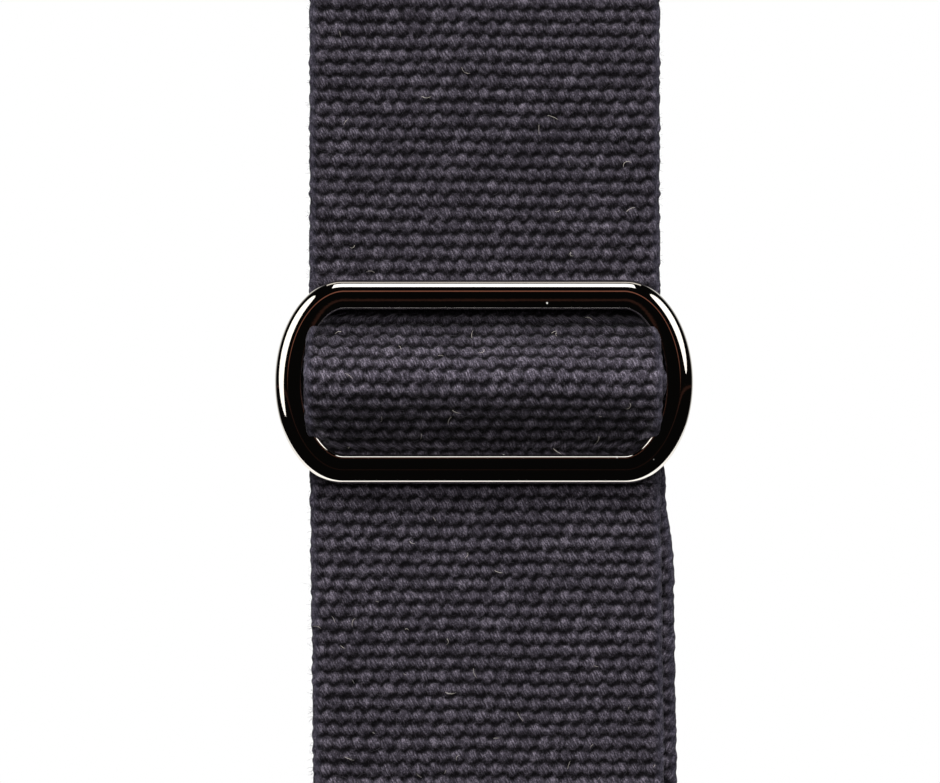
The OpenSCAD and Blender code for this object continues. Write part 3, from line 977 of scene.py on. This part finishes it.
def build_front_tab():
    outline = tab_outline(**FRONT_TAB)
    hole = keyhole(FRONT_TAB["reach"])
    top = 3.0                               # the upper row of stitches, from the leather's edge
    edge_line = stitch_line(inset=STITCH_IN, start=top, **FRONT_TAB)
    top_line = dense(np.array([[edge_line[0][0], top], [-edge_line[0][0], top]]), 0.5)
    boxes = box_lines(WEB_W - 10, 6.5, LEATHER_Z - end_low[2] - 3)
    grooves = [edge_line, top_line]
    edge_stitches, box_stitches = [], []
    for side, node, material in ((1, "front_tab_face", LEATHER_FACE),
                                 (-1, "front_tab_backing", LEATHER_BACK)):
        path = front_tab_path(side)
        sheet(node + "_leather", outline, [hole], path, grooves, material, "front_tab", node)
        # The path runs down, so its left is towards +y: outwards for the face
        edge_stitches += [on_path(path, line, LEATHER / 2 - 0.14, side) for line in grooves]
        box_stitches += [on_path(path, line, LEATHER / 2 - 0.05, side) for line in boxes]
    stitches("front_tab_edge_threads", edge_stitches, "front_tab", "front_tab_edge_stitching")
    stitches("front_tab_box_threads", box_stitches, "front_tab", "front_tab_box_stitching")


def build_tail_tab():
    """One sheet from the front layer's tip, up, round the ring's lower bar and down to the back tip."""
    bend = WIRE_R + GAP + LEATHER / 2
    shut = LEATHER / 2 + 0.02
    close = 14.0                            # below the bar, where the two layers meet
    row = 22.0                              # the row of stitches across the tab
    tip = TAIL_HOLE_Z - LOWER_BAR_Z - TIP_R
    points = np.vstack([
        [[-shut, tip], [-shut, -close]],
        arc(0, 0, bend, 180, 0),
        [[shut, -close], [shut, tip]],
    ]) + [RING_Y, LOWER_BAR_Z]
    path = Path(points, soften=1.6)
    middle = path.length / 2
    shape = dict(width=TAIL_WIDTH, straight=26.0, reach=middle - TIP_R - 0.4, nose=TIP_R)
    shoulder, tangent, nose_points = tab_edge(**shape)
    right = dense(np.vstack([[shoulder], [tangent], nose_points[1:]]), 1.0)
    lower = np.vstack([right, right[::-1][1:] * [-1, 1]])
    half = lower + [0, middle]
    other = (lower * [1, -1])[::-1] + [0, middle]
    outline = dense(np.vstack([half, other, half[:1]]), 1.0)[:-1]
    holes = [keyhole(middle + shape["reach"]), keyhole(middle - shape["reach"], up=1)]
    line = stitch_line(inset=STITCH_IN, start=row, **shape)
    cross_x = TAIL_WIDTH / 2 - STITCH_IN
    cross = dense(np.array([[cross_x, row], [-cross_x, row]]), 0.5)
    lines = [flat * [1, down] + [0, middle] for down in (1, -1) for flat in (line, cross)]
    sheet("tail_tab_folded_leather", outline, holes, path, lines, LEATHER_FACE,
          "tail_tab", "tail_tab_leather")
    # The path runs up and over towards the back, so outwards is on its left
    stitches("tail_tab_threads", [on_path(path, flat, LEATHER / 2 - 0.14) for flat in lines],
             "tail_tab", "tail_tab_stitching")


def build_loop_stitches(path):
    behind = path.y > RETURN_Y + 1          # the flap, behind the return run
    top, bottom = [float(np.interp(-height, -path.z[behind], path.s[behind]))
                   for height in (SLIDER_Z - SPLIT - 5, loop_low[2] + 6)]
    lines = [on_path(path, line + [0.5, 0], WEB_T / 2 - 0.12)
             for line in box_lines(WEB_W - 11, top, bottom)]
    stitches("bar_loop_threads", lines, "adjuster", "bar_loop_stitching", pitch=3.2, thick=0.7)


def hairs(name, path, body, count, low, high, seed, shift=0.0):
    """Loose fibres standing off a strip's front, and some past its edges; a few are pale lint."""
    rng = np.random.default_rng(seed)
    joints, ring = 6, 3
    points, faces, tone = [], [], []
    t = np.linspace(0, 1, joints)
    for _ in range(count):
        at_edge = rng.random() < 0.30
        lint = rng.random() < 0.05 and not at_edge
        s0 = rng.uniform(low, high)
        if at_edge:
            end = rng.choice([-1.0, 1.0])
            x0, heading = end * (WEB_W / 2 - 0.15), (0 if end > 0 else math.pi) + rng.normal(0, 0.7)
            long, base = rng.uniform(0.25, 0.95), rng.uniform(-0.6, 0.6)
        else:
            x0, heading = rng.uniform(-WEB_W / 2 + 0.5, WEB_W / 2 - 0.5), rng.uniform(0, 2 * math.pi)
            long, base = rng.uniform(0.5, 2.2), WEB_T / 2 - 0.06
            if lint:
                long = rng.uniform(0.3, 1.7)
        angle = heading + rng.normal(0, 1.3) * t
        step = long / (joints - 1)
        dx, ds = [np.r_[0, np.cumsum(c(angle[:-1]) * step)] for c in (np.cos, np.sin)]
        rise = (0.16 if lint else rng.uniform(0.05, 0.30)) * np.sin(np.pi * t * rng.uniform(0.5, 0.95))
        y, z, ny, nz = path.at(s0 + ds)
        m = -(base + rise)
        centre = np.column_stack([x0 + shift + dx, y + ny * m, z + nz * m])
        radius = (0.032 if lint else rng.uniform(0.011, 0.021)) * (1 - 0.6 * t ** 2)
        way = np.gradient(centre, axis=0)
        way /= np.linalg.norm(way, axis=1)[:, None]
        flat = np.cross(way, np.column_stack([np.zeros(joints), ny, nz]))
        flat /= np.maximum(np.linalg.norm(flat, axis=1), 1e-9)[:, None]
        add_tube(points, faces, centre, radius, flat, np.cross(flat, way), ring)
        tone.extend(np.ones(joints * ring) if lint else rng.uniform(0.0, 0.35, joints * ring))
    piece = mesh_piece(name, np.array(points), faces, attributes={"tone": tone})
    finish_piece(piece, FIBRE, body, "webbing")


def build_hairs(over_path):
    top = Path([[FRONT_Y, SLIDER_Z + 66], [FRONT_Y, SLIDER_Z + SLIDER_H / 2]])
    below = Path([[FRONT_Y, SLIDER_Z - SLIDER_H / 2], [FRONT_Y, SLIDER_Z - 60]])
    hairs("webbing_fibres_above", top, "hung_webbing", 900, 0, top.length, seed=31, shift=0.1)
    hairs("webbing_fibres_below", below, "hung_webbing", 850, 0, below.length, seed=32, shift=0.3)
    hairs("webbing_fibres_over_bar", over_path, "adjuster", 700, 5, over_path.length - 5, seed=33)


length = build_back_run()
build_front_layer(length)
over_path = build_over_bar()
loop_path = build_bar_loop()
build_return_run()
build_ring_turn()
build_front_end()
build_slider()
build_ring()
build_front_tab()
build_tail_tab()
build_loop_stitches(loop_path)
build_hairs(over_path)


# ---------------------------------------------------------------- floor, light and camera

def build_floor():
    """A pale disc under the strap, mostly behind it, so that the slider's face sees little of it."""
    n = Nodes("pale_floor")
    n.set(Base_Color=(0.86, 0.855, 0.84), Roughness=0.9, Emission_Color=(1, 0.99, 0.97),
          Emission_Strength=0.93)
    radius, back, count = 1900, 1670, 128
    a = np.linspace(0, 2 * math.pi, count + 1)[:-1]
    rim = np.column_stack([radius * np.cos(a), back + radius * np.sin(a),
                           np.full(count, cad_box[0][2] / MM - 12)])
    floor = mesh_piece("floor", rim, [tuple(range(count))], smooth=False)
    floor.data.materials.append(n.material)
    floor.visible_diffuse = False


def polar(tilt, turn, distance=780):
    """Place seen at a tilt from straight in front, turned from up towards the left."""
    tilt, turn = math.radians(tilt), math.radians(turn)
    side = math.sin(tilt)
    return (-distance * side * math.sin(turn), -distance * math.cos(tilt), distance * side * math.cos(turn))


def lamp(name, place, size, radiance, colour=(1, 1, 1), shape="RECTANGLE", glossy=True, diffuse=True):
    """A soft lamp aimed at the slider. Its place is counted from the slider's middle."""
    data = bpy.data.lights.new(name, "AREA")
    data.shape = shape
    data.size, data.size_y = size[0] * MM, size[1] * MM
    data.energy, data.color = radiance * math.pi * data.size * data.size_y, colour
    item = bpy.data.objects.new(name, data)
    target = np.array([0, SLIDER_Y, SLIDER_Z])
    from_here = np.array(place, float)
    item.location = (target + from_here) * MM
    item.rotation_euler = Vector(-from_here).to_track_quat("-Z", "Y").to_euler()
    item.visible_glossy, item.visible_diffuse = glossy, diffuse
    bpy.context.scene.collection.objects.link(item)


def build_world():
    """White behind the strap; on the camera's side a dark oval with a faint brown rim."""
    n = WorldNodes("studio")
    x, y, z = n.node("SeparateXYZ", Vector=n.node("TexCoord").outputs["Generated"]).outputs
    dark, brown, dim = (0.003, 0.0028, 0.0026), (0.30, 0.115, 0.075), (0.035, 0.015, 0.011)
    black, white = (0, 0, 0), (1, 1, 1)

    def squared(source, radius):
        return n.math("POWER", n.math("ABSOLUTE", n.math("DIVIDE", source, radius)), 2.0)

    def bands(source, *stops):
        """A colour for each place from -1 to 1 along a direction's axis."""
        half = n.math("MULTIPLY_ADD", source, 0.5, 0.5)
        return n.ramp(half, *[((at + 1) / 2, colour) for at, colour in stops])

    oval = n.math("SQRT", n.math("ADD", squared(x, 0.17), squared(z, 0.30)))
    rim = bands(n.math("SUBTRACT", n.math("MINIMUM", oval, 1.9), 1.0),
                (-1.0, dark), (-0.24, dark), (-0.14, brown), (0.06, brown), (0.16, dark), (1.0, dark))
    below = bands(z, (-1.0, dark), (-0.036, dark), (-0.032, dim), (-0.024, dim), (-0.018, dark), (1.0, dark))
    above = bands(z, (-1.0, black), (-0.01, black), (0.04, white), (1.0, white))
    behind = bands(y, (-1.0, black), (0.35, black), (0.70, white), (1.0, white))
    lit = n.node("Background", Color=n.mix(behind, n.mix(above, below, rim), (0.95, 0.935, 0.90)))
    seen = n.node("Background", Color=(1, 1, 1))
    either = n.node("MixShader")
    sources = n.node("LightPath").outputs["Is Camera Ray"], lit.outputs[0], seen.outputs[0]
    for socket, source in zip(either.inputs, sources):
        n.feed(socket, source)
    n.node("OutputWorld", Surface=either.outputs[0])


def build_camera():
    """Straight on to the slider's face, a close-up 134 mm wide."""
    view_w, distance = 134.3, 680.0
    left, down = 2.0, 1.37                  # how far the picture's middle is from the slider's
    data = bpy.data.cameras.new("camera")
    data.sensor_width = 36.0
    data.lens = 36.0 * distance / view_w
    data.clip_start, data.clip_end = 0.01, 30
    camera = bpy.data.objects.new("camera", data)
    camera.location = (-left * MM, (SLIDER_Y - distance) * MM, (SLIDER_Z - down) * MM)
    camera.rotation_euler = (math.pi / 2, 0, 0)
    bpy.context.scene.collection.objects.link(camera)
    bpy.context.scene.camera = camera


build_floor()
lamp("key_softbox", polar(50.5, 0), (380, 252), 2.2)
lamp("overhead_softbox", (0, -20, 800), (700, 330), 1.0, (1, 0.95, 0.88))
lamp("left_softbox", polar(47, 70), (440, 700), 1.6, (1, 0.97, 0.93), "ELLIPSE", diffuse=False)
lamp("right_softbox", polar(47, -61), (400, 520), 1.6, (1, 0.97, 0.93), "ELLIPSE", diffuse=False)
lamp("soft_fill_above", polar(57, 0, 1500), (960, 770), 10.4, glossy=False)
lamp("soft_fill_front", polar(17, 0, 1500), (960, 580), 7.6, glossy=False)
build_world()
build_camera()
bpy.context.scene.view_settings.view_transform = "Standard"
